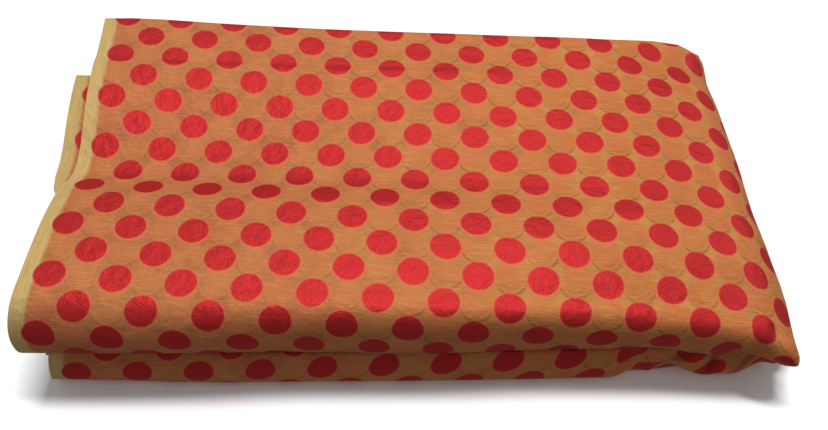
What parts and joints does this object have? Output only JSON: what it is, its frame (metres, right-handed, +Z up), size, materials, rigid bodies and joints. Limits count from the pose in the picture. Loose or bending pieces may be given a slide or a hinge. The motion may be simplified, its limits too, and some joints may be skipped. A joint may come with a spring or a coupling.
{
  "type": "folded chanderi cotton fabric",
  "caption": "Length of doubled chanderi cotton with woven round dots, folded back and forth into a soft two-packet stack.",
  "frame": {"origin": "on the ground, under the middle of the footprint", "axes": "+X along the folds from the selvedge end to the centre-fold end, +Y from the front roll to the back, +Z up"},
  "size_m": [0.5618, 0.3204, 0.1007],
  "materials": {
    "chanderi_cloth": "sheer gold plain weave with woven red dots and a plain gold selvedge"
  },
  "bodies": {
    "root": {"folded_cloth": "chanderi_cloth"}
  },
  "joints": []
}
